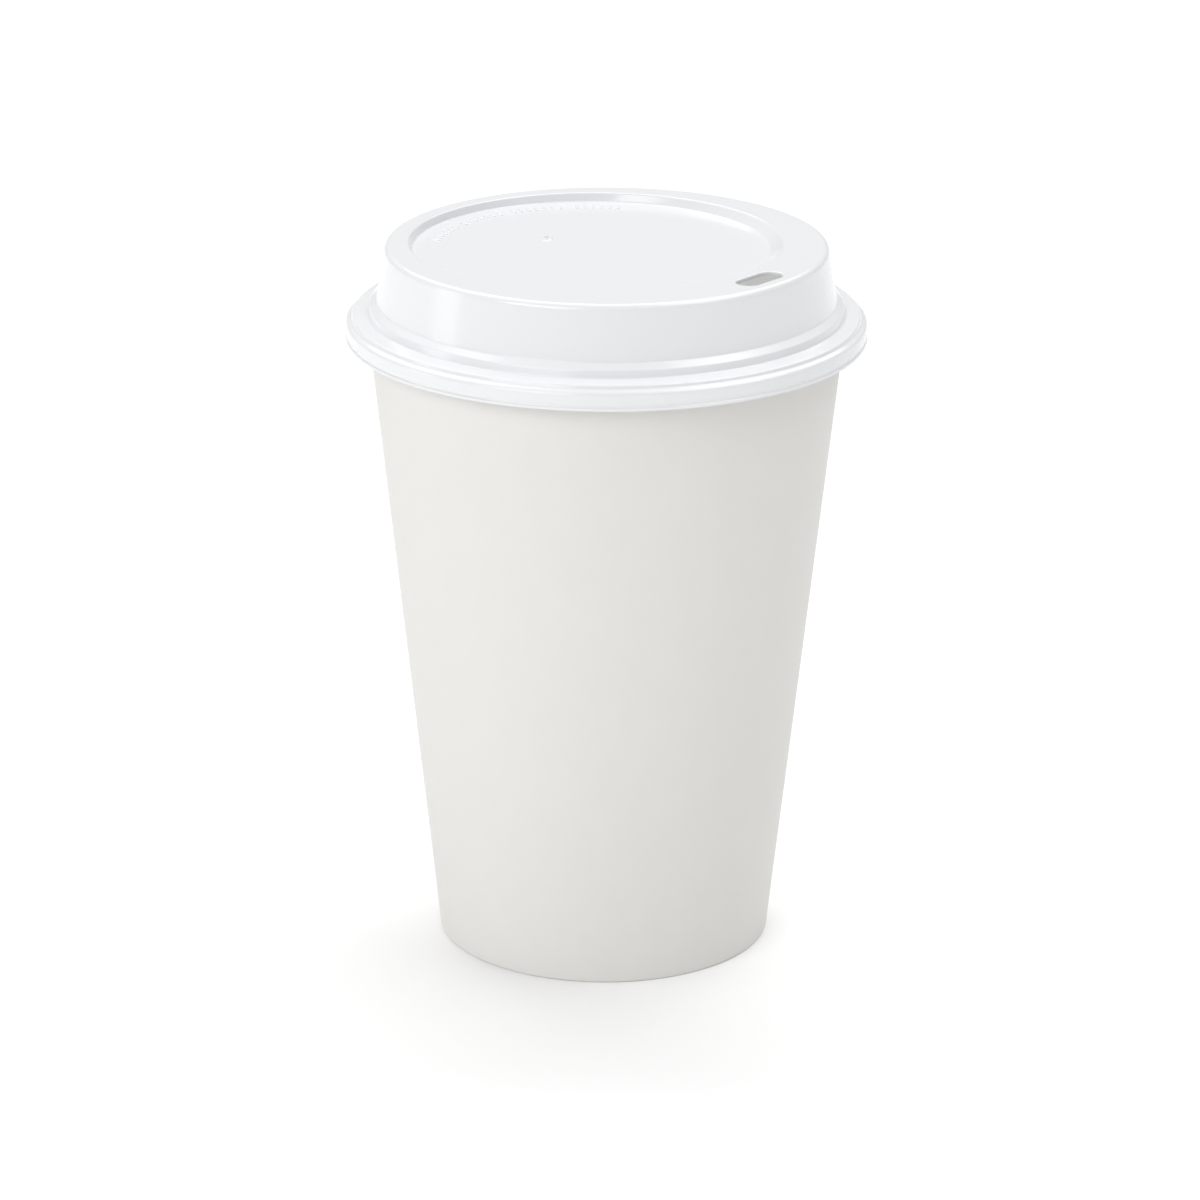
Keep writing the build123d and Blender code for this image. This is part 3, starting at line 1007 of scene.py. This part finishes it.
class PAPERCUP_OT_stage(bpy.types.Operator):
    """Make the floor, the soft lights and the camera"""

    bl_idname = "papercup.stage"
    bl_label = "Stage"

    def execute(self, context):
        scene = context.scene
        stage = scene.paper_cup_stage
        aim = Vector((0, 0, stage.middle))

        low, high = -FLOOR_REACH, FLOOR_REACH
        mesh = bpy.data.meshes.new("floor")
        corners = [(low, low, 0), (high, low, 0), (high, high, 0), (low, high, 0)]
        mesh.from_pydata(corners, [], [(0, 1, 2, 3)])
        mesh.materials.append(floor_paint(stage))
        linked_object("floor", mesh)

        world = bpy.data.worlds.new("Even light")
        world.use_nodes = True
        world.node_tree.nodes["Background"].inputs["Color"].default_value = (1, 1, 1, 1)
        world.node_tree.nodes["Background"].inputs["Strength"].default_value = stage.sky
        scene.world = world

        front = math.degrees(stage.azimuth)
        for name, (aside, up, distance, size) in LIGHTS.items():
            soft_light(name, aim, front + aside, up, distance, size, getattr(stage, name))

        data = bpy.data.cameras.new("camera")
        data.lens = stage.lens
        data.clip_end = 100
        camera = linked_object("camera", data)
        back = towards(stage.azimuth, stage.elevation)
        camera.location = aim + back * stage.distance
        right = Vector((math.cos(stage.azimuth), math.sin(stage.azimuth), 0))
        sight = aim + right * stage.aim_aside + back.cross(right) * stage.aim_up - camera.location
        camera.rotation_mode = "QUATERNION"
        camera.rotation_quaternion = sight.to_track_quat("-Z", "Y") @ Quaternion((0, 0, 1), stage.roll)
        scene.camera = camera
        scene.view_settings.view_transform = "Standard"
        return {"FINISHED"}


class PAPERCUP_PT_panel(bpy.types.Panel):
    """Lists the pieces of the cup and their sizes"""

    bl_idname = "PAPERCUP_PT_panel"
    bl_label = "Paper Cup"
    bl_space_type = "VIEW_3D"
    bl_region_type = "UI"
    bl_category = "Paper Cup"

    def draw(self, context):
        groups = (
            (context.scene.paper_cup, CUP_PIECES),
            (context.scene.paper_cup_lid, LID_PIECES),
            (context.scene.paper_cup_stage, STAGE_PIECES),
        )
        for settings, pieces in groups:
            box = self.layout.box()
            for piece in pieces:
                box.operator(piece.bl_idname)
            for key in type(settings).__annotations__:
                box.prop(settings, key)


CUP_PIECES = (PAPERCUP_OT_wall, PAPERCUP_OT_bottom, PAPERCUP_OT_pleats)
LID_PIECES = (PAPERCUP_OT_lid, PAPERCUP_OT_ticks)
STAGE_PIECES = (PAPERCUP_OT_stage,)
CLASSES = (CupSizes, LidSizes, StageSettings, *CUP_PIECES, *LID_PIECES, *STAGE_PIECES, PAPERCUP_PT_panel)


def register():
    for each in CLASSES:
        bpy.utils.register_class(each)
    bpy.types.Scene.paper_cup = PointerProperty(type=CupSizes)
    bpy.types.Scene.paper_cup_lid = PointerProperty(type=LidSizes)
    bpy.types.Scene.paper_cup_stage = PointerProperty(type=StageSettings)


def unregister():
    del bpy.types.Scene.paper_cup_stage
    del bpy.types.Scene.paper_cup_lid
    del bpy.types.Scene.paper_cup
    for each in reversed(CLASSES):
        bpy.utils.unregister_class(each)


def main():
    register()
    bpy.ops.papercup.wall()
    bpy.ops.papercup.bottom()
    bpy.ops.papercup.pleats()
    bpy.ops.papercup.lid()
    bpy.ops.papercup.ticks()
    bpy.ops.papercup.stage()


if __name__ == "__main__":
    main()
